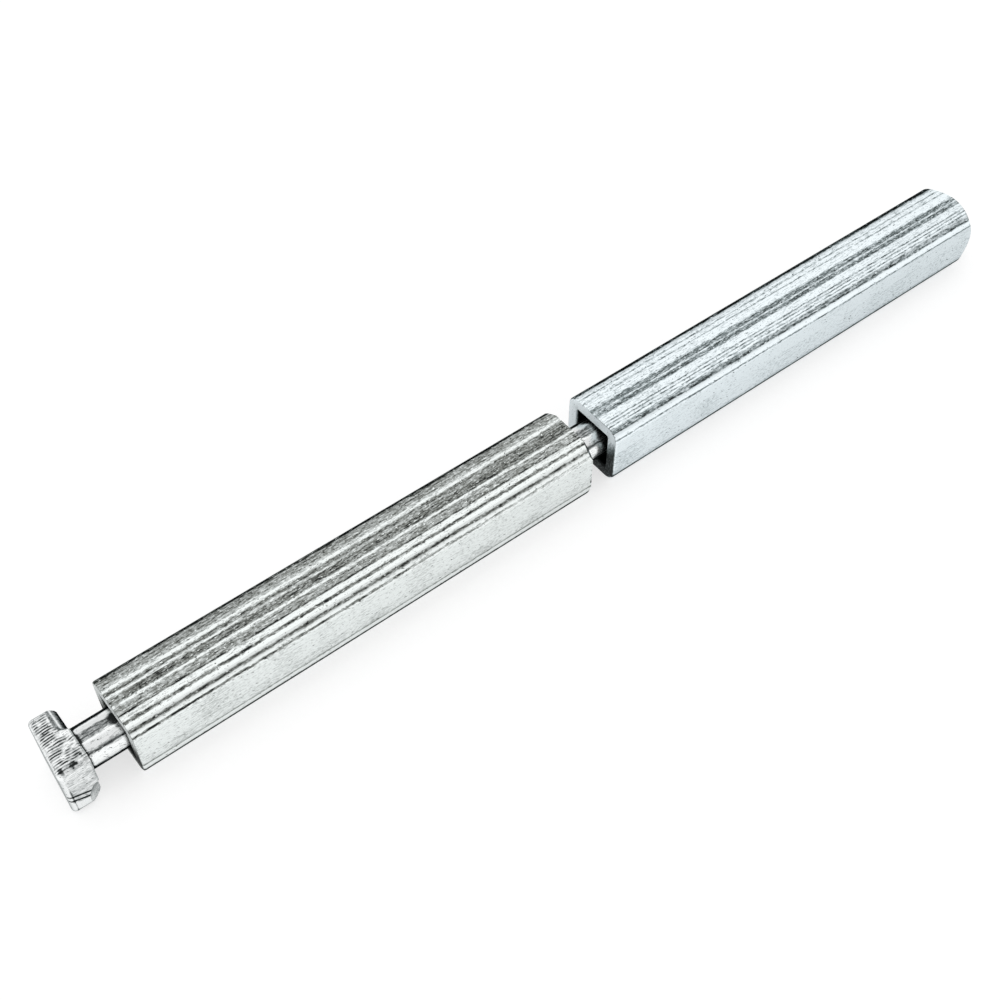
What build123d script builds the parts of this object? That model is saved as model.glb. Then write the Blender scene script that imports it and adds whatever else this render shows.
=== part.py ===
from build123d import *
import os
from math import cos, radians, sin, sqrt, tan

# Split door handle spindle: a headed pin carries two sleeves of square tube.
# Millimetres. +X runs along the pin from the head to the riveted end, +Z is up.
# The spindle lies on Z = 0, with the origin at the middle of its footprint.

# Square tube of both sleeves
across_flats = 8.0
tube_wall = 1.5
corner_radius = 1.5
bore_corner_radius = 0.3
end_chamfer = 0.2
head_end_sleeve_length = 56.0
far_end_sleeve_length = 58.9

# The end of each sleeve away from the head is turned to a 45 degree cone, of this radius at the
# end face. It takes little off the one sleeve, and all the corners of the other.
head_end_sleeve_cone = 4.6
far_end_sleeve_cone = 3.9

# Spaces along the pin, as the spindle lies
head_gap = 4.05
sleeve_gap = 3.25
rivet_end_play = 0.1

# Headed pin: the shank is as thick as the bore lets it be
pin_clearance = 0.25
head_across_flats = 7.4
head_corner_radius = 0.85
head_thickness = 3.1
head_shear_angle = 4.5
head_rim_radius = 0.5
head_inner_chamfer = 0.15
neck_fillet = 0.3
rivet_overhang = 0.8
rivet_height = 1.1
rivet_rim = 0.25

# Two opposite corners of the head that the upset wire didn't fill, on the inner side. At the
# inner face they reach in a little past the radius of the neck, beside it.
unfilled_start = 0.4
upper_unfilled_bend = 1.0
upper_unfilled_length = 1.1
upper_past_neck = 0.25
lower_unfilled_bend = 2.3
lower_unfilled_length = 1.4
lower_past_neck = 0.05

# Sizes that follow
bore_side = across_flats - 2 * tube_wall
pin_radius = bore_side / 2 - pin_clearance
rivet_radius = bore_side / 2 + rivet_overhang
axis_height = across_flats / 2
neck_radius = pin_radius + neck_fillet
upper_unfilled_depth = head_across_flats / 2 - neck_radius + upper_past_neck
lower_unfilled_depth = head_across_flats / 2 - neck_radius + lower_past_neck
pin_axis = Axis((0, 0, axis_height), (1, 0, 0))

# Places along X. The outer end of the head is sheared off square, and reaches furthest out at
# its near edge, where the rim takes a little off again.
shear = radians(head_shear_angle)
shear_reach = (head_across_flats / 2 - head_rim_radius) * tan(shear)
shear_reach -= head_rim_radius * (1 / cos(shear) - 1)
overall_length = (
    shear_reach + head_thickness + head_gap + head_end_sleeve_length + sleeve_gap
    + far_end_sleeve_length + rivet_end_play + rivet_height
)
head_outer_x = -overall_length / 2 + shear_reach
head_inner_x = head_outer_x + head_thickness
head_end_sleeve_x = head_inner_x + head_gap
far_end_sleeve_x = head_end_sleeve_x + head_end_sleeve_length + sleeve_gap
rivet_x = far_end_sleeve_x + far_end_sleeve_length + rivet_end_play
rivet_tip_x = rivet_x + rivet_height

os.makedirs("parts", exist_ok=True)


# Headed pin, made in one piece. Wire is upset to a head, and the head is trimmed to a square a
# little smaller than the tubes, with its outer rim rounded and its inner edges broken.
with BuildPart() as headed_pin:
    with BuildSketch(Plane.YZ.offset(head_inner_x)):
        with Locations((0, axis_height)):
            RectangleRounded(head_across_flats, head_across_flats, head_corner_radius)
    extrude(amount=-2 * head_thickness)
    shear_plane = Plane((head_outer_x, 0, axis_height), z_dir=(cos(shear), -sin(shear), 0))
    split(bisect_by=shear_plane, keep=Keep.TOP)
    outer_face = headed_pin.faces().sort_by(Axis.X)[0]
    inner_face = headed_pin.faces().sort_by(Axis.X)[-1]
    fillet(outer_face.edges(), head_rim_radius)
    chamfer(inner_face.edges(), head_inner_chamfer)

    # The unfilled corners, upper far and lower near. On the flat the edge of one is a quarter of
    # an ellipse that runs on straight, and the cut slopes from there to the inner side.
    for out, side, bend, length, depth in (
        (Vector(0, 0, 1), 1, upper_unfilled_bend, upper_unfilled_length, upper_unfilled_depth),
        (Vector(0, -1, 0), -1, lower_unfilled_bend, lower_unfilled_length, lower_unfilled_depth),
    ):
        start_level = head_across_flats / 2 + depth / 4
        start_point = Vector(head_inner_x - length / 4, 0, axis_height) + out * start_level
        edge_start = side * unfilled_start
        edge_bend = side * (unfilled_start + bend)
        past_side = side * head_across_flats
        with BuildSketch(Plane(start_point, x_dir=(1, 0, 0), z_dir=out)):
            with BuildLine():
                EllipticalCenterArc(
                    (0, edge_bend), length, bend, start_angle=180, arc_size=90 * side
                )
                Polyline(
                    (0, edge_start),
                    (length, edge_start),
                    (length, past_side),
                    (-length, past_side),
                    (-length, edge_bend),
                )
            make_face()
        slope = (Vector(length, 0, 0) - out * depth).normalized()
        extrude(amount=2 * (length + depth), dir=slope, mode=Mode.SUBTRACT)

    # Shank, through both sleeves
    with BuildSketch(Plane.YZ.offset(head_inner_x)):
        with Locations((0, axis_height)):
            Circle(pin_radius)
    extrude(amount=rivet_x - head_inner_x)
    shank_face = headed_pin.faces().filter_by(GeomType.CYLINDER).sort_by(SortBy.AREA)[-1]
    neck_edge = shank_face.edges().filter_by(GeomType.CIRCLE).sort_by(Axis.X)[0]
    fillet(neck_edge, neck_fillet)

    # Riveted end: a low dome, peened over the far end of the second sleeve
    dome_height = rivet_height - rivet_rim
    dome_radius = (rivet_radius**2 + dome_height**2) / (2 * dome_height)
    with BuildSketch(Plane.XZ):
        with BuildLine():
            rim_top = (rivet_x + rivet_rim, axis_height + rivet_radius)
            half_way = rivet_radius / 2
            dome_drop = dome_radius - sqrt(dome_radius**2 - half_way**2)
            ThreePointArc(
                rim_top,
                (rivet_tip_x - dome_drop, axis_height + half_way),
                (rivet_tip_x, axis_height),
            )
            Polyline(
                (rivet_tip_x, axis_height),
                (rivet_x, axis_height),
                (rivet_x, axis_height + rivet_radius),
                rim_top,
            )
        make_face()
    revolve(axis=pin_axis)

headed_pin.part.label = "headed_pin"
export_step(headed_pin.part, "parts/headed_pin.step")


# Sleeves: two lengths of square tube with a square bore, in which the round pin is a loose fit.
# The end towards the head is sawn and broken inside and out, and the other end is turned.
def square_sleeve(label, start_x, length, cone_radius):
    end_x = start_x + length
    with BuildPart() as sleeve:
        with BuildSketch(Plane.YZ.offset(start_x)):
            with Locations((0, axis_height)):
                RectangleRounded(across_flats, across_flats, corner_radius)
                RectangleRounded(bore_side, bore_side, bore_corner_radius, mode=Mode.SUBTRACT)
        extrude(amount=length)
        sawn_face = sleeve.faces().sort_by(Axis.X)[0]
        turned_face = sleeve.faces().sort_by(Axis.X)[-1]
        bore_edges = turned_face.inner_wires()[0].edges()
        chamfer(sawn_face.edges() + bore_edges, end_chamfer)
        with BuildSketch(Plane.XZ):
            Polygon(
                (start_x, axis_height),
                (start_x, axis_height + across_flats),
                (end_x + cone_radius - across_flats, axis_height + across_flats),
                (end_x, axis_height + cone_radius),
                (end_x, axis_height),
                align=None,
            )
        revolve(axis=pin_axis, mode=Mode.INTERSECT)
    sleeve.part.label = label
    export_step(sleeve.part, f"parts/{label}.step")


square_sleeve(
    "head_end_sleeve", head_end_sleeve_x, head_end_sleeve_length, head_end_sleeve_cone
)
square_sleeve("far_end_sleeve", far_end_sleeve_x, far_end_sleeve_length, far_end_sleeve_cone)

print("overall length", round(overall_length, 2), "mm")
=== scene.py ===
import random
from math import atan2, cos, degrees, exp, pi, radians, sin, sqrt

import bmesh
import bpy
from mathutils import Matrix, Vector, noise


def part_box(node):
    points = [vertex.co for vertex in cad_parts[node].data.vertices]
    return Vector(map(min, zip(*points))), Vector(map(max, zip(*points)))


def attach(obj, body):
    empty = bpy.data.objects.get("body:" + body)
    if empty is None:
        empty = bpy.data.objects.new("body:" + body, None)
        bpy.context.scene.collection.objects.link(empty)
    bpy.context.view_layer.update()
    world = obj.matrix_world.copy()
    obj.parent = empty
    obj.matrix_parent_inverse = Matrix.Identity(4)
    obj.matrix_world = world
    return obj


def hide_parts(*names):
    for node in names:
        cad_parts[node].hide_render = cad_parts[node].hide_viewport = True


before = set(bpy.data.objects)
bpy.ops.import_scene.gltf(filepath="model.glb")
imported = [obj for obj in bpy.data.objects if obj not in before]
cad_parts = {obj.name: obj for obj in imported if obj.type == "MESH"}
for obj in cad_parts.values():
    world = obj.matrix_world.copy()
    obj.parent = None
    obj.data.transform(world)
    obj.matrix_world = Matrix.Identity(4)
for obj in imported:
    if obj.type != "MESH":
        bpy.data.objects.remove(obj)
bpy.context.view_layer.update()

mm = 0.001

# The headed pin: one piece of zinc-plated steel wire that carries both sleeves.
# The head is upset and trimmed square, which tore two of its flats, and the wire didn't fill
# two corners of its inner side. The far end is riveted over.
pin_low, pin_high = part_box("headed_pin")
head_end_low, head_end_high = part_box("head_end_sleeve")
far_end_low, far_end_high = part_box("far_end_sleeve")
axis_height = (pin_low.z + pin_high.z) / 2
half_side = (pin_high.z - pin_low.z) / 2
head_gap = 4.05 * mm
head_thickness = 3.1 * mm
head_corner = 0.85 * mm
head_rim_radius = 0.5 * mm
inner_chamfer = 0.15 * mm
neck_fillet = 0.3 * mm
shank_radius = 2.25 * mm
rivet_radius = 3.3 * mm
rivet_height = 1.1 * mm
rivet_rim = 0.25 * mm
head_inner_x = head_end_low.x - head_gap
head_outer_x = head_inner_x - head_thickness
rivet_x = pin_high.x - rivet_height

# How near a face a point counts as on it, and how near each other points are merged
at_face = 0.01 * mm
merge_reach = 0.002 * mm


def rise(value, start, end):
    """0 before start and 1 past end, with a straight climb between."""
    return max(0, min(1, (value - start) / (end - start)))


def band_share(place, start, end, edge):
    """1 inside a band and 0 outside, with soft edges."""
    up = 1 / (1 + exp(-max(-40, min(40, (place - start) / edge * 3))))
    down = 1 / (1 + exp(-max(-40, min(40, (end - place) / edge * 3))))
    return up * down


def skin_place(point, half, radius):
    """How far round the square skin a point is, from the middle of the top, and which way is out.
    The near side, towards -Y, counts as positive."""
    across, up = -point.y, point.z - axis_height
    inner = half - radius
    flat_across = max(-inner, min(inner, across))
    flat_up = max(-inner, min(inner, up))
    out_across, out_up = across - flat_across, up - flat_up
    turned = atan2(abs(out_across), out_up)
    if flat_up > -inner:
        straight = abs(flat_across) + inner - flat_up
    else:
        straight = 4 * inner - abs(flat_across)
    side = -1 if across < 0 else 1
    outward = Vector((0, -out_across, out_up)).normalized()
    return side * (straight + radius * turned), outward


def square_section(bm, x, half, radius, corner_steps, flat_steps):
    """A square face with round corners, across the pin at x."""
    square = bmesh.ops.create_grid(bm, x_segments=1, y_segments=1, size=half)["verts"]
    bmesh.ops.rotate(bm, verts=square, cent=(0, 0, 0), matrix=Matrix.Rotation(pi / 2, 3, "Y"))
    bmesh.ops.translate(bm, verts=square, vec=(x, 0, axis_height))
    bmesh.ops.bevel(
        bm, geom=square, offset=radius, affect="VERTICES", segments=corner_steps,
        profile=0.5, material=-1,
    )
    flats = [e for e in bm.edges if e.calc_length() > radius]
    bmesh.ops.subdivide_edges(bm, edges=flats, cuts=flat_steps - 1)
    return list(bm.faces)[0]


def finish_mesh(bm, name):
    """The mesh as an object, smooth apart from its sharp edges."""
    sharp = radians(40)
    bmesh.ops.recalc_face_normals(bm, faces=bm.faces)
    mesh = bpy.data.meshes.new(name)
    bm.to_mesh(mesh)
    bm.free()
    mesh.polygons.foreach_set("use_smooth", [True] * len(mesh.polygons))
    mesh.set_sharp_from_angle(angle=sharp)
    piece = bpy.data.objects.new(name, mesh)
    bpy.context.scene.collection.objects.link(piece)
    return piece


def draw_out(bm, ring, place):
    """Pulls an open ring of edges on to the next section, each point where place puts it."""
    pulled = bmesh.ops.extrude_edge_only(bm, edges=ring)["geom"]
    for vert in [g for g in pulled if isinstance(g, bmesh.types.BMVert)]:
        vert.co = place(vert.co)
    return [g for g in pulled if isinstance(g, bmesh.types.BMEdge)]


bm = bmesh.new()
rim_half = half_side - head_rim_radius
rim_corner = head_corner - head_rim_radius
corner_steps = 10
flat_steps = 110
outer_face = square_section(bm, head_outer_x, rim_half, rim_corner, corner_steps, flat_steps)
ring = list(outer_face.edges)

# The rounded outer rim, by quarter-circle steps
rim_steps = 7
for step in range(1, rim_steps + 1):
    before, after = (pi / 2 * k / rim_steps for k in (step - 1, step))
    wider = head_rim_radius * (sin(after) - sin(before))
    further = head_rim_radius * (cos(before) - cos(after))
    ring = draw_out(bm, ring, lambda co: (
        co + skin_place(co, rim_half, rim_corner)[1] * wider + Vector((further, 0, 0))
    ))

# The flats, and the broken edge round the inner side
along_steps = 40
along_step = (head_thickness - head_rim_radius - inner_chamfer) / along_steps
for step in range(along_steps):
    ring = draw_out(bm, ring, lambda co: co + Vector((along_step, 0, 0)))
draw_out(bm, ring, lambda co: (
    co - skin_place(co, half_side, head_corner)[1] * inner_chamfer + Vector((inner_chamfer, 0, 0))
))

# Marks of the head. Places on it are in mm, along from its outer end and round the skin from the
# middle of the top. The torn flats are the top and bottom ones, and the other two are smooth.
tear_pitch = 0.29
tear_depth = 0.045 * mm
drag_depth = 0.03 * mm
torn_half_width = 3.3
marks_start = 0.1
side_middle = (2 * (half_side - head_corner) + head_corner * pi / 2) / mm
tone_layer = bm.verts.layers.float.new("tone")
crinkle_layer = bm.verts.layers.float.new("crinkle")

# Small chips: place along and round the skin, and half their length and width
chips = ((0.55, 3.35, 0.2, 0.4), (1.75, 3.2, 0.35, 0.28), (2.67, 2.75, 0.14, 0.14))


def torn_flat(along, skin):
    """Lines torn along the pin, which wander and break off: their depth from 0 to 1, and tone."""
    wander = (0.15 + 0.16 * along) * noise.noise(Vector((along * 0.9, skin * 0.8, 4.4)))
    wave = 0.5 + 0.5 * sin(2 * pi * (skin / tear_pitch + wander))
    broken = 0.95 - 0.2 * along + 1.2 * noise.noise(Vector((along * 1.6, skin * 2.6, 7.7)))
    tear = wave * max(0, min(1, broken)) * rise(along, marks_start, 0.4)
    return tear, 0.55 - 1.7 * tear


def smooth_flat(along, skin):
    """Two lines dragged along the pin low down on the side: their depth from 0 to 1, and tone."""
    low_down = abs(skin) - 7.4 - 0.4 * along
    drag = band_share(low_down, -0.12, 0.12, 0.08) + band_share(low_down, 0.6, 0.85, 0.08)
    tone = 0.3 - 1.6 * drag + 0.6 * band_share(low_down, 1.1, 2.2, 0.1)
    # Painted highlight along the rounded outer rim, and a darker line low down just inside it
    tone += 0.6 * (1 - rise(along, 0.42, 0.52))
    tone -= 1.1 * band_share(along, 0.5, 0.6, 0.05) * rise(abs(skin), 6.0, 6.6)
    return drag, tone


def chip_shade(along, skin):
    """How much the chips darken the head at a place."""
    shade = 0
    for chip_along, chip_skin, chip_long, chip_wide in chips:
        away = ((along - chip_along) / chip_long)**2 + ((skin - chip_skin) / chip_wide)**2
        away += 2.2 * noise.noise(Vector((along * 4, skin * 4, chip_along)))
        shade += max(0, min(1, 1.3 - away))
    return shade


# Each point takes its marks. The outer end is sheared a little off square.
lean = (head_outer_x - pin_low.x) / (half_side - head_rim_radius / 2)
for vert in bm.verts:
    skin, outward = skin_place(vert.co, half_side, head_corner)
    skin = skin / mm
    along = (vert.co.x - head_outer_x) / mm
    tone = 0.6
    vert[crinkle_layer] = 0.2
    off_middle = min(abs(skin), 2 * side_middle - abs(skin))
    if along > marks_start and off_middle < torn_half_width:
        tear, tone = torn_flat(along, skin)
        vert.co -= outward * tear_depth * tear
        vert[crinkle_layer] = 0.35
    elif along > marks_start:
        drag, tone = smooth_flat(along, skin)
        vert.co -= outward * drag_depth * drag
    vert[tone_layer] = tone - chip_shade(along, skin)
    vert.co.x += vert.co.y * lean * (1 - rise(along, head_rim_radius / mm, head_thickness / mm))

# The unfilled corners, upper far and lower near, slope down to the inner side. On its flat the
# edge of one is a quarter of an ellipse that runs on straight.
unfilled_start = 0.4 * mm
upper_bend = 1.0 * mm
upper_length = 1.1 * mm
upper_depth = 1.4 * mm
lower_bend = 2.3 * mm
lower_length = 1.4 * mm
lower_depth = 1.2 * mm


def unfilled_fall(x, place, bend, length, depth):
    """How far an unfilled corner lies below the flat, at a place along the pin and on the flat."""
    reach = 0
    if place >= unfilled_start:
        left = max(0, (unfilled_start + bend - place) / bend)
        reach = length * sqrt(1 - left**2)
    return max(0, x - head_inner_x + reach) * depth / length


for vert in bm.verts:
    place = vert.co.y
    fall = unfilled_fall(vert.co.x, place, upper_bend, upper_length, upper_depth)
    if vert.co.z > axis_height + half_side - fall + merge_reach:
        vert.co.z = axis_height + half_side - fall
        # Painted highlight along the slope of the upper corner, and painted shade at its deepest part
        painted_glint = band_share(fall / mm, 0.55, 0.75, 0.1) * rise(place / mm, 0.8, 1.4)
        vert[tone_layer] = -0.25 + 1.1 * painted_glint - 1.2 * rise(fall / mm, 0.95, 1.3)
        vert[crinkle_layer] = 0.15
    place = axis_height - vert.co.z
    fall = unfilled_fall(vert.co.x, place, lower_bend, lower_length, lower_depth)
    if -vert.co.y > half_side - fall + merge_reach:
        vert.co.y = -half_side + fall
        # Painted highlight along the slope of the lower corner
        vert[tone_layer] = 0.3 + 0.5 * band_share(fall / mm, 0.1, 0.4, 0.1)
        vert[crinkle_layer] = 0.1

# Shank and riveted end: half the outline, spun round the axis. The steps along the shank are
# short at the head and at the gap between the sleeves, where it is in sight.
neck_steps = 8
dome_steps = 10
shank_turns = 144
short_step = 0.15 * mm
long_step = 3 * mm
head_sight_end = head_inner_x + 9 * mm
gap_sight_start = head_end_high.x - 5 * mm
gap_sight_end = far_end_low.x + 5 * mm
outline = []
for step in range(neck_steps + 1):
    angle = pi / 2 * step / neck_steps
    outline.append((
        head_inner_x + neck_fillet * (1 - cos(angle)),
        shank_radius + neck_fillet * (1 - sin(angle)),
    ))
x = head_inner_x + neck_fillet
while x < rivet_x - at_face:
    in_sight = x < head_sight_end or gap_sight_start < x < gap_sight_end
    x = min(rivet_x, x + (short_step if in_sight else long_step))
    outline.append((x, shank_radius))
outline.append((rivet_x, rivet_radius))
dome_height = rivet_height - rivet_rim
dome_radius = (rivet_radius**2 + dome_height**2) / (2 * dome_height)
for step in range(dome_steps + 1):
    out = rivet_radius * (1 - step / dome_steps)
    outline.append((pin_high.x - dome_radius + sqrt(dome_radius**2 - out**2), out))
outline_verts = [bm.verts.new((x, 0, axis_height + out)) for x, out in outline]
outline_edges = [bm.edges.new(pair) for pair in zip(outline_verts, outline_verts[1:])]
bmesh.ops.spin(
    bm, geom=outline_verts + outline_edges, cent=(0, 0, axis_height), axis=(1, 0, 0),
    angle=2 * pi, steps=shank_turns, use_merge=True,
)
bmesh.ops.remove_doubles(bm, verts=bm.verts, dist=merge_reach)
bmesh.ops.bridge_loops(bm, edges=[e for e in bm.edges if e.is_boundary])

# Bands of painted highlight and painted shade run along the shank, darkest at its upper and lower
# outlines: start and end in degrees from the top, and tone. The neck has painted shade, and so
# does a stretch of the top in front of the first sleeve.
painted_light_bands = (
    (-62, -30, -1.5), (-26, -8, 1.2), (-5, 19, -0.35), (21, 42, 0.9),
    (43, 49, 0.2), (51, 55, -1.0), (58, 94, 0.7), (99, 124, -1.4), (128, 150, 0.4),
    (155, 175, -0.3), (-150, -110, 0.4),
)
for vert in bm.verts:
    if vert.co.x < head_inner_x + at_face:
        continue
    vert[crinkle_layer] = 0.35
    if vert.co.x > rivet_x - at_face:
        vert[tone_layer] = 0.55
        continue
    turn = degrees(atan2(-vert.co.y, vert.co.z - axis_height))
    along = (vert.co.x - head_inner_x) / mm
    sway = 1.5 * noise.noise(Vector((along * 1.3, turn * 0.05, 9.1)))
    tone = 0
    for start, end, shade in painted_light_bands:
        tone += shade * band_share(turn + sway, start, end, 3)
    if 20 < turn < 45:
        vert[crinkle_layer] = 0.7
    # Painted shade on the top in front of the first sleeve, and at the neck
    shade_before_sleeve = rise(along, 3.3, 3.9) * (1 - rise(along, 4.1, 4.3))
    tone -= 1.3 * shade_before_sleeve * band_share(turn, -15, 38, 6)
    vert[tone_layer] = tone - 2.4 * (1 - rise(along, 0.2, 0.36))
headed_pin = finish_mesh(bm, "headed_pin_skin")


def zinc_plate(name, dark, middle, bright):
    """Zinc on steel with its grain along the pin. The tone of a point, from -1 to 1, says how
    dark or bright the plate is there, painted light and shade included, and crinkle says how
    broken its surface is. Matt is 1 on a sawn face."""
    plate = bpy.data.materials.new(name)
    plate.use_nodes = True
    nodes, links = plate.node_tree.nodes, plate.node_tree.links
    metal = nodes["Principled BSDF"]
    metal.inputs["Specular Tint"].default_value = (0.3, 0.32, 0.32, 1)

    tone = nodes.new("ShaderNodeAttribute")
    tone.attribute_name = "tone"
    crinkle = nodes.new("ShaderNodeAttribute")
    crinkle.attribute_name = "crinkle"
    matt = nodes.new("ShaderNodeAttribute")
    matt.attribute_name = "matt"
    place = nodes.new("ShaderNodeTexCoord")

    def grain(per_mm_along, per_mm_across, detail, slant=0):
        """A noise drawn out along the pin, or at a slant to it in degrees."""
        scale = nodes.new("ShaderNodeMapping")
        scale.vector_type = "TEXTURE"
        scale.inputs["Rotation"].default_value = (0, radians(slant), 0)
        scale.inputs["Scale"].default_value = (
            mm / per_mm_along, mm / per_mm_across, mm / per_mm_across,
        )
        pattern = nodes.new("ShaderNodeTexNoise")
        pattern.inputs["Scale"].default_value = 1.0
        pattern.inputs["Detail"].default_value = detail
        links.new(place.outputs["Object"], scale.inputs["Vector"])
        links.new(scale.outputs["Vector"], pattern.inputs["Vector"])
        return pattern.outputs["Fac"]

    def figure(kind, first, second, third=None):
        """One step of arithmetic. MULTIPLY_ADD is first times second, plus third."""
        step = nodes.new("ShaderNodeMath")
        step.operation = kind
        for socket, value in zip(step.inputs, (first, second, third)):
            if value is None:
                continue
            if isinstance(value, (int, float)):
                socket.default_value = value
            else:
                links.new(value, socket)
        return step.outputs[0]

    def above(value, start, end):
        """0 where the value is under start, 1 where it is over end."""
        climb = nodes.new("ShaderNodeMapRange")
        climb.inputs["From Min"].default_value = start
        climb.inputs["From Max"].default_value = end
        links.new(value, climb.inputs["Value"])
        return climb.outputs["Result"]

    crinkles = grain(1.0, 5.0, 3.0)
    scratches = grain(0.25, 12.0, 3.0)
    flecks = grain(2.5, 8.0, 1.0)
    jags = grain(3.5, 6.0, 2.0)
    grit = grain(2.0, 5.0, 3.0)
    nicks = grain(1.8, 7.0, 2.0, 30)

    # Tone moves with the crinkles where the surface is broken. Everywhere it moves a little with
    # fine scratches and grit, and small slanted nicks darken it.
    swing = figure("MULTIPLY", figure("SUBTRACT", crinkles, 0.5), 3.4)
    swing = figure("MULTIPLY_ADD", figure("SUBTRACT", jags, 0.5), 1.8, swing)
    moved = figure("MULTIPLY_ADD", swing, crinkle.outputs["Fac"], tone.outputs["Fac"])
    moved = figure("MULTIPLY_ADD", figure("SUBTRACT", scratches, 0.5), 1.1, moved)
    moved = figure("MULTIPLY_ADD", figure("SUBTRACT", grit, 0.5), 1.5, moved)
    bright_spots = figure("MULTIPLY", above(flecks, 0.64, 0.70), crinkle.outputs["Fac"])
    moved = figure("MULTIPLY_ADD", bright_spots, 1.6, moved)
    moved = figure("MULTIPLY_ADD", above(nicks, 0.65, 0.70), -1.5, moved)
    level = figure("MULTIPLY_ADD", moved, 0.5, 0.5)

    # Near-black in the deepest marks and painted shade, then from dark by the middle tone to bright
    shades = nodes.new("ShaderNodeValToRGB")
    shades.color_ramp.elements[0].position = 0.0
    shades.color_ramp.elements[0].color = (0.02, 0.022, 0.022, 1)
    shades.color_ramp.elements[1].position = 0.8
    shades.color_ramp.elements[1].color = (*bright, 1)
    for position, colour in ((0.5, middle), (0.24, dark)):
        shades.color_ramp.elements.new(position).color = (*colour, 1)
    links.new(level, shades.inputs["Fac"])
    links.new(shades.outputs["Color"], metal.inputs["Base Color"])

    # Bright places are polished, and dark and sawn ones are dull
    dull = nodes.new("ShaderNodeMapRange")
    dull.inputs["From Min"].default_value = 1.0
    dull.inputs["From Max"].default_value = 0.0
    dull.inputs["To Min"].default_value = 0.18
    dull.inputs["To Max"].default_value = 0.4
    links.new(level, dull.inputs["Value"])
    roughness = figure("MULTIPLY_ADD", matt.outputs["Fac"], 0.3, dull.outputs["Result"])
    links.new(roughness, metal.inputs["Roughness"])
    links.new(figure("MULTIPLY_ADD", matt.outputs["Fac"], -0.75, 1.0), metal.inputs["Metallic"])

    relief = nodes.new("ShaderNodeBump")
    relief.inputs["Distance"].default_value = 0.012 * mm
    links.new(figure("MULTIPLY_ADD", scratches, 0.3, crinkles), relief.inputs["Height"])
    links.new(crinkle.outputs["Fac"], relief.inputs["Strength"])
    links.new(relief.outputs["Normal"], metal.inputs["Normal"])
    return plate


headed_pin.data.materials.append(
    zinc_plate("pin_zinc", (0.12, 0.13, 0.13), (0.48, 0.5, 0.5), (0.95, 0.97, 0.97))
)
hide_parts("headed_pin")
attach(headed_pin, "pin")

# The head-end sleeve: square steel tube, drawn, sawn to length at one end and turned to a cone
# at the other, and zinc-plated. The die has left bands and lines along it, and painted shade
# and painted highlights sit among them at the corners. It slides and turns on the pin.
tube_half = 4 * mm
tube_corner = 1.5 * mm
tube_wall = 1.5 * mm
bore_half = tube_half - tube_wall
bore_corner = 0.3 * mm
end_break = 0.2 * mm
tube_side = (2 * (tube_half - tube_corner) + tube_corner * pi / 2) / mm
tube_corner_steps = 26
tube_flat_steps = 66
tube_along_steps = 200
bore_corner_steps = 6
bore_flat_steps = 12
bore_along_steps = 12

# A face with more sides than this is a whole section of tube or bore
many_sided = 20


def extrude_along(bm, face, length, steps):
    """Pulls a section along the pin, and cuts the new sides into steps."""
    pulled = bmesh.ops.extrude_face_region(bm, geom=[face])["geom"]
    far_verts = [g for g in pulled if isinstance(g, bmesh.types.BMVert)]
    bmesh.ops.translate(bm, verts=far_verts, vec=(length, 0, 0))
    along = [e for e in bm.edges if abs(e.verts[0].co.x - e.verts[1].co.x) > length / 2]
    bmesh.ops.subdivide_edges(bm, edges=along, cuts=steps - 1, use_grid_fill=True)


def chance_bands(bands, seed):
    """The bands in sight, and like ones by chance on the flats that are turned away."""
    chance = random.Random(seed)
    start = bands[-1][1]
    last_end = 4 * tube_side + bands[0][0]
    while start < last_end - 0.1:
        wide = chance.choice((0.12, 0.2, 0.35, 0.6, 0.9))
        end = min(start + wide, last_end)
        shade = chance.uniform(-0.7, 1)
        bands = bands + [(start, end, shade, shade, chance.uniform(0, 0.02))]
        start = end
    return bands


def band_marks(bands, skin, along, share):
    """Depth and tone of a place on the skin. The bands sway and fade a little, thin ones more."""
    depth = tone = 0
    for start, end, left_tone, right_tone, deep in bands:
        if start - 0.4 < skin < end + 0.4:
            sway = 0.05 * noise.noise(Vector((along * 0.15, start, 1.3)))
            sway += 0.03 * noise.noise(Vector((along * 2.0, start, 5.3)))
            within = band_share(skin + sway, start, end, 0.07)
            thin = 1 - rise(end - start, 0.1, 0.4)
            faded = noise.noise(Vector((along * (0.3 + 0.5 * thin), start * 3, 6.1)))
            faded = 0.9 + (0.4 + 0.7 * thin) * faded
            depth += deep * within * faded
            tone += (left_tone + (right_tone - left_tone) * share) * within * faded
    return depth, tone


def turn_end(bm, end_x, cone_radius, tone_layer):
    """The turned end of a tube: a cone from the flats down, and the narrow rim of the end, with painted
    shade along its outer edge.
    """
    cone_steps = 4
    rim_share = 0.97
    ring = [e for e in bm.edges if e.is_boundary]
    for step in range(cone_steps):
        def down_cone(co):
            out = Vector((0, co.y, co.z - axis_height))
            fall = max(0, out.length - cone_radius) / (cone_steps - step)
            return co - out.normalized() * fall + Vector((fall, 0, 0))
        ring = draw_out(bm, ring, down_cone)
    # Painted shade along the outer edge of the end
    for edge in ring:
        for vert in edge.verts:
            vert.co.x = end_x
            vert[tone_layer] = -1.6

    def within_rim(co):
        return Vector((co.x, rim_share * co.y, axis_height + rim_share * (co.z - axis_height)))

    for edge in draw_out(bm, ring, within_rim):
        for vert in edge.verts:
            vert[tone_layer] = 0.3
    bmesh.ops.remove_doubles(bm, verts=bm.verts, dist=merge_reach)


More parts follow.
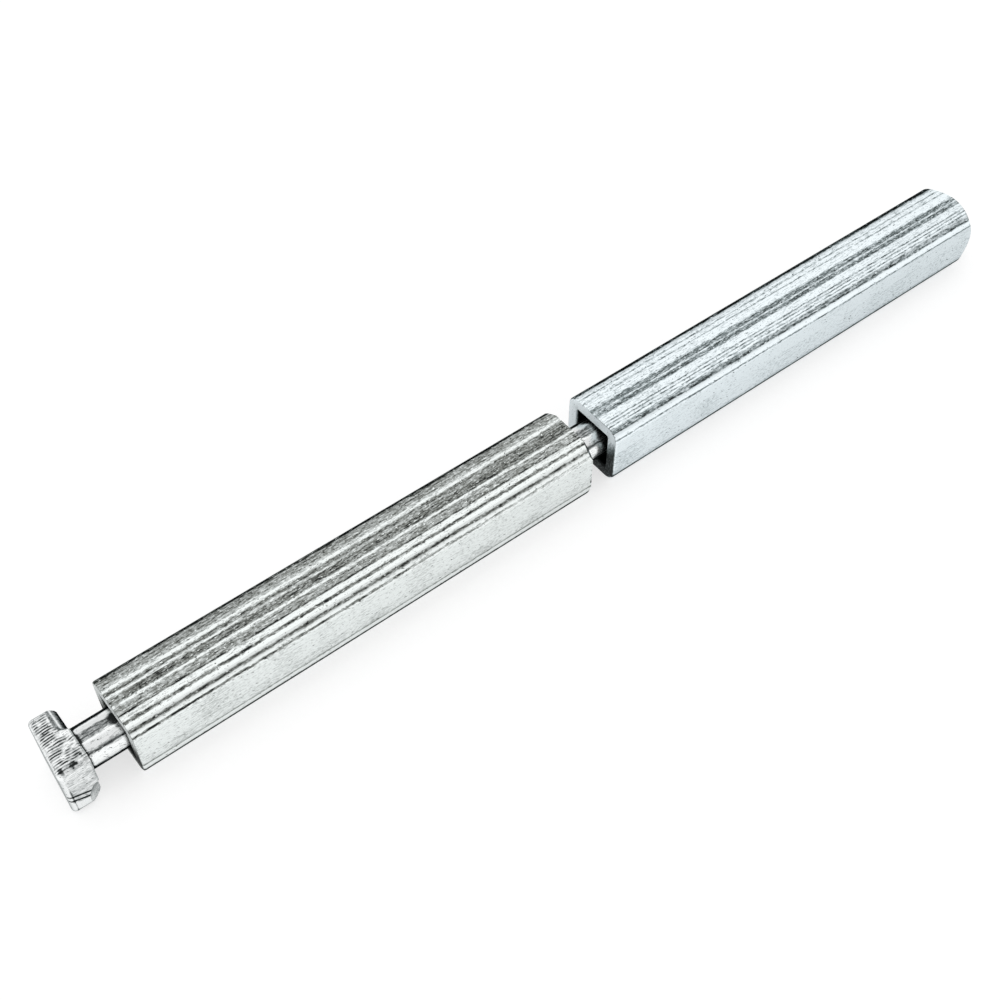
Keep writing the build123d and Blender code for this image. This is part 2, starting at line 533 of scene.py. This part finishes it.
def add_bore(bm, start_x, end_x):
    """The square bore of a tube, with painted shade inside, and both its mouths broken."""
    bore = bmesh.new()
    section = square_section(
        bore, start_x, bore_half, bore_corner, bore_corner_steps, bore_flat_steps
    )
    extrude_along(bore, section, end_x - start_x, bore_along_steps)
    for x in (start_x + end_break, end_x - end_break):
        bmesh.ops.bisect_plane(
            bore, geom=list(bore.verts) + list(bore.edges) + list(bore.faces), dist=0.001 * mm,
            plane_co=(x, 0, axis_height), plane_no=(1, 0, 0),
        )
    caps = [f for f in bore.faces if len(f.verts) > many_sided]
    flare = (bore_half + end_break) / bore_half
    to_axis = Matrix.Translation((0, 0, -axis_height))
    for cap in caps:
        bmesh.ops.scale(bore, vec=(1, flare, flare), space=to_axis, verts=list(cap.verts))
    bmesh.ops.delete(bore, geom=caps, context="FACES_ONLY")
    bore_shade_layer = bore.verts.layers.float.new("tone")
    # The bore takes painted shade, apart from its far mouth
    for vert in bore.verts:
        vert[bore_shade_layer] = 0.3 if vert.co.x > end_x - at_face else -1.5
    bore_mesh = bpy.data.meshes.new("bore")
    bore.to_mesh(bore_mesh)
    bore.free()
    bm.from_mesh(bore_mesh)
    bpy.data.meshes.remove(bore_mesh)


def close_ends(bm, start_x, end_x):
    """The end faces, between the skin and the bore. The mouth of the bore stands out from the
    skin while they are made, so that both rings are taken the same way round."""
    past_bore = bore_half + 2.5 * end_break
    for x, out_x in ((start_x, -tube_wall), (end_x, tube_wall)):
        rim = [e for e in bm.edges if e.is_boundary and abs(e.verts[0].co.x - x) < 5 * at_face]
        mouth = {v for e in rim for v in e.verts}
        mouth = [v for v in mouth if max(abs(v.co.y), abs(v.co.z - axis_height)) < past_bore]
        bmesh.ops.translate(bm, verts=mouth, vec=(out_x, 0, 0))
        bmesh.ops.bridge_loops(bm, edges=rim)
        bmesh.ops.translate(bm, verts=mouth, vec=(-out_x, 0, 0))


def square_tube(name, start_x, end_x, cone_radius, bands, drift, face_shading, seed):
    """A length of square tube. Each band of its skin has a start and an end round the skin in mm,
    its tone at either end of the tube, and a depth in mm. The bands drift round the skin by so
    many mm from end to end. Face_shading gives the painted light and shade of the sawn face from
    the place across and up, both from -1 to 1. The seed settles the bands on the flats that are turned
    away."""
    bands = chance_bands(bands, seed)
    bm = bmesh.new()
    section = square_section(
        bm, start_x, tube_half, tube_corner, tube_corner_steps, tube_flat_steps
    )
    extrude_along(bm, section, end_x - start_x, tube_along_steps)
    end_faces = [f for f in bm.faces if len(f.verts) > many_sided]
    end_faces.sort(key=lambda f: f.verts[0].co.x)
    bmesh.ops.delete(bm, geom=[end_faces[1]], context="FACES_ONLY")
    bmesh.ops.bevel(
        bm, geom=list(end_faces[0].edges), offset=end_break, affect="EDGES",
        segments=2, profile=0.5, material=-1,
    )

    tone_layer = bm.verts.layers.float.new("tone")
    crinkle_layer = bm.verts.layers.float.new("crinkle")
    matt_layer = bm.verts.layers.float.new("matt")
    for vert in bm.verts:
        skin, outward = skin_place(vert.co, tube_half, tube_corner)
        skin = skin / mm
        share = (vert.co.x - start_x) / (end_x - start_x)
        along = vert.co.x / mm
        skin -= drift * share * rise(skin, -3.2, -2.4) * (1 - rise(skin, 9.4, 9.8))
        if skin < bands[0][0]:
            skin += 4 * tube_side
        depth, tone = band_marks(bands, skin, along, share)
        reach = Vector((vert.co.y, vert.co.z - axis_height)).length
        cone_start = end_x - max(0, reach - cone_radius)
        if share > 0.01:
            vert.co.x = start_x + (cone_start - start_x) * share
        vert.co -= outward * depth * mm
        vert[tone_layer] = tone
        vert[crinkle_layer] = 0.14 + 0.5 * (1 - rise(abs(skin), 4.4, 5.0))

    turn_end(bm, end_x, cone_radius, tone_layer)
    sawn_face = [f for f in bm.faces if len(f.verts) > many_sided]
    bmesh.ops.delete(bm, geom=sawn_face, context="FACES_ONLY")
    add_bore(bm, start_x, end_x)
    close_ends(bm, start_x, end_x)
    # The sawn face takes painted light and shade by its place across and up
    for vert in bm.verts:
        if vert.co.x < start_x + at_face:
            across, up = vert.co.y / tube_half, (vert.co.z - axis_height) / tube_half
            vert[tone_layer] = face_shading(across, up)
            vert[crinkle_layer] = 0.15
            vert[matt_layer] = 1
    return finish_mesh(bm, name)


head_end_cone = 4.6 * mm
# Bands round the skin, as listed. The dark band over the far upper corner and the one under the lower
# near corner are painted shade at the outlines, the bright band at the foot of the near flat is a
# painted highlight, and the dark line by the near upper corner is a groove darkened with painted shade.
head_end_bands = [
    (-4.15, -3.1, -1.3, -1.3, 0.006), (-3.1, -2.1, -0.3, -0.3, 0.004), (-2.1, -1.8, 0.1, 0.0, 0.006),
    (-1.78, -1.45, 0.8, 0.7, 0.0), (-1.35, -0.93, -0.5, -0.5, 0.012), (-0.9, -0.62, 0.6, -0.6, 0.0),
    (-0.6, 0.2, -0.6, -0.6, 0.015), (0.22, 0.32, 0.0, -0.7, 0.0), (0.35, 0.6, 0.8, 0.7, 0.0),
    (0.62, 1.55, -0.25, -0.25, 0.006), (1.57, 1.72, -1.2, -1.0, 0.02), (1.76, 2.4, 0.7, 0.65, 0.0),
    (2.44, 2.76, -0.8, -0.7, 0.02), (2.82, 3.38, 1.1, 1.1, 0.0), (3.44, 3.73, -0.7, -0.7, 0.03),
    (3.79, 4.13, 1.1, 1.0, 0.0), (4.2, 4.45, -1.1, 0.3, 0.03), (4.5, 8.0, 0.55, 0.6, 0.0),
    (8.0, 9.2, 0.5, 0.5, 0.004), (9.25, 9.42, -0.25, -0.2, 0.01), (9.46, 9.95, 1.0, 1.0, 0.0),
    (10.05, 10.8, -1.1, -1.1, 0.006),
]


def head_end_face_shading(across, up):
    """Painted shade below the middle."""
    return 0.5 - 1.9 * band_share(up, -0.9, 0.05, 0.5)


head_end_sleeve = square_tube(
    "head_end_sleeve_skin", head_end_low.x, head_end_high.x, head_end_cone, head_end_bands,
    drift=0.0, face_shading=head_end_face_shading, seed=11,
)
head_end_sleeve.data.materials.append(
    zinc_plate("head_end_zinc", (0.19, 0.2, 0.185), (0.46, 0.485, 0.475), (0.91, 0.95, 0.94))
)
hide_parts("head_end_sleeve")
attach(head_end_sleeve, "head_end")

# The far-end sleeve: a second length of the same square tube, a little cooler in colour, with
# its corners turned off at the far end. It turns on the pin, and the riveted end keeps it on.
far_end_cone = 3.9 * mm
# Bands round the skin, as listed. The dark band over the far upper corner and the one under the lower
# near corner are painted shade at the outlines, the near flat takes painted shade towards its foot, and
# the dark line by the near upper corner is a groove darkened with painted shade.
far_end_bands = [
    (-4.15, -3.05, -1.3, -1.3, 0.006), (-2.95, -2.45, 0.55, 0.55, 0.0), (-2.44, -2.34, -0.5, -0.5, 0.01),
    (-2.32, -1.8, 0.6, 0.6, 0.0), (-1.78, -1.68, -0.6, -0.6, 0.01), (-1.66, -0.55, 0.55, 0.8, 0.0),
    (-0.76, 0.04, -0.5, -0.5, 0.012), (0.05, 0.2, 0.4, 0.4, 0.0), (0.21, 0.76, -0.5, -0.5, 0.012),
    (0.8, 1.74, 0.6, 0.6, 0.0), (1.76, 1.87, -0.7, -0.7, 0.015), (1.9, 2.14, 0.7, 0.7, 0.0),
    (2.16, 2.27, -0.6, -0.6, 0.015), (2.3, 2.55, 0.7, 0.7, 0.0), (2.56, 2.67, -0.6, -0.6, 0.015),
    (2.7, 2.9, 0.7, 0.7, 0.0), (2.92, 3.36, -0.25, -0.25, 0.015), (3.38, 3.52, -0.9, -0.9, 0.02),
    (3.6, 4.22, 1.1, 1.1, 0.0), (4.3, 4.42, -0.7, -0.7, 0.02), (4.5, 6.5, 0.75, 0.75, 0.0),
    (6.5, 9.5, 0.62, 0.62, 0.0), (9.5, 10.0, 0.35, 0.35, 0.0), (10.05, 10.8, -1.0, -1.0, 0.006),
]


def far_end_face_shading(across, up):
    """Painted light at the upper far corner, and painted shade towards the lower near one."""
    return 1.0 - 2.0 * rise(-across - up, 0.1, 0.7)


far_end_sleeve = square_tube(
    "far_end_sleeve_skin", far_end_low.x, far_end_high.x, far_end_cone, far_end_bands,
    drift=0.4, face_shading=far_end_face_shading, seed=23,
)
far_end_sleeve.data.materials.append(
    zinc_plate("far_end_zinc", (0.18, 0.215, 0.22), (0.52, 0.58, 0.60), (0.90, 0.97, 1.0))
)
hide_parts("far_end_sleeve")
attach(far_end_sleeve, "far_end")

# The stand: a white floor, a wide soft lamp above and behind, a pale sky, and the camera.
# The floor is lit, and shows part of its white by itself, so that the shadow on it stays light.
floor_half = 1.5
floor_white = 0.97
own_white = 0.5
own_level = 1.2
floor_bm = bmesh.new()
bmesh.ops.create_grid(floor_bm, x_segments=1, y_segments=1, size=floor_half)
floor = finish_mesh(floor_bm, "floor")
paper = bpy.data.materials.new("white_paper")
paper.use_nodes = True
nodes, links = paper.node_tree.nodes, paper.node_tree.links
sheet = nodes["Principled BSDF"]
sheet.inputs["Base Color"].default_value = (floor_white, floor_white, floor_white, 1)
sheet.inputs["Roughness"].default_value = 1.0
sheet.inputs["Specular IOR Level"].default_value = 0.0
glow = nodes.new("ShaderNodeEmission")
glow.inputs["Strength"].default_value = own_level

# Its own white is there for the camera and in the metal, and lights nothing
seen = nodes.new("ShaderNodeLightPath")
looked_at = seen.outputs["Is Camera Ray"]
for ray in ("Is Glossy Ray", "Is Transmission Ray"):
    either = nodes.new("ShaderNodeMath")
    either.operation = "MAXIMUM"
    links.new(looked_at, either.inputs[0])
    links.new(seen.outputs[ray], either.inputs[1])
    looked_at = either.outputs[0]
part = nodes.new("ShaderNodeMath")
part.operation = "MULTIPLY"
part.inputs[1].default_value = own_white
links.new(looked_at, part.inputs[0])
mix = nodes.new("ShaderNodeMixShader")
links.new(part.outputs[0], mix.inputs["Fac"])
links.new(sheet.outputs["BSDF"], mix.inputs[1])
links.new(glow.outputs["Emission"], mix.inputs[2])
links.new(mix.outputs["Shader"], nodes["Material Output"].inputs["Surface"])
floor.data.materials.append(paper)

# The sky is a little brighter low down than overhead
sky_low = 1.0
sky_high = 0.8
world = bpy.data.worlds.new("studio")
bpy.context.scene.world = world
world.use_nodes = True
nodes, links = world.node_tree.nodes, world.node_tree.links
way = nodes.new("ShaderNodeTexCoord")
parts = nodes.new("ShaderNodeSeparateXYZ")
height = nodes.new("ShaderNodeMapRange")
height.inputs["From Min"].default_value = 0.15
height.inputs["From Max"].default_value = 0.4
height.inputs["To Min"].default_value = sky_low
height.inputs["To Max"].default_value = sky_high
links.new(way.outputs["Generated"], parts.inputs["Vector"])
links.new(parts.outputs["Z"], height.inputs["Value"])
links.new(height.outputs["Result"], nodes["Background"].inputs["Strength"])
nodes["Background"].inputs["Color"].default_value = (1, 1, 1, 1)

# The lamp hangs over the pin, as long as the floor. It reaches from a little in front to well
# behind, in angles from straight up.
lamp_front = radians(-25)
lamp_back = radians(45)
lamp_angle = (lamp_front + lamp_back) / 2
lamp_distance = 0.8
lamp_level = 0.25
lamp = bpy.data.lights.new("top_lamp", "AREA")
lamp.shape = "RECTANGLE"
lamp.size = 2 * floor_half
lamp.size_y = 2 * lamp_distance * sin((lamp_back - lamp_front) / 2)
lamp.energy = lamp_level * pi * lamp.size * lamp.size_y
holder = bpy.data.objects.new("top_lamp", lamp)
holder.location = (0, lamp_distance * sin(lamp_angle), lamp_distance * cos(lamp_angle))
holder.rotation_euler = (-lamp_angle, 0, 0)
bpy.context.scene.collection.objects.link(holder)

# The camera looks down at the spindle from beyond its head
camera_dip = 0.896
camera_turn = 0.665
camera = bpy.data.cameras.new("camera")
camera.sensor_width = 36
camera.lens = 52.53
camera.clip_start = 0.005
tripod = bpy.data.objects.new("camera", camera)
tripod.location = (-70.548 * mm, -77.741 * mm, 126.426 * mm)
tripod.rotation_euler = (pi / 2 - camera_dip, 0, -camera_turn)
bpy.context.scene.collection.objects.link(tripod)
bpy.context.scene.camera = tripod
bpy.context.scene.view_settings.view_transform = "Standard"
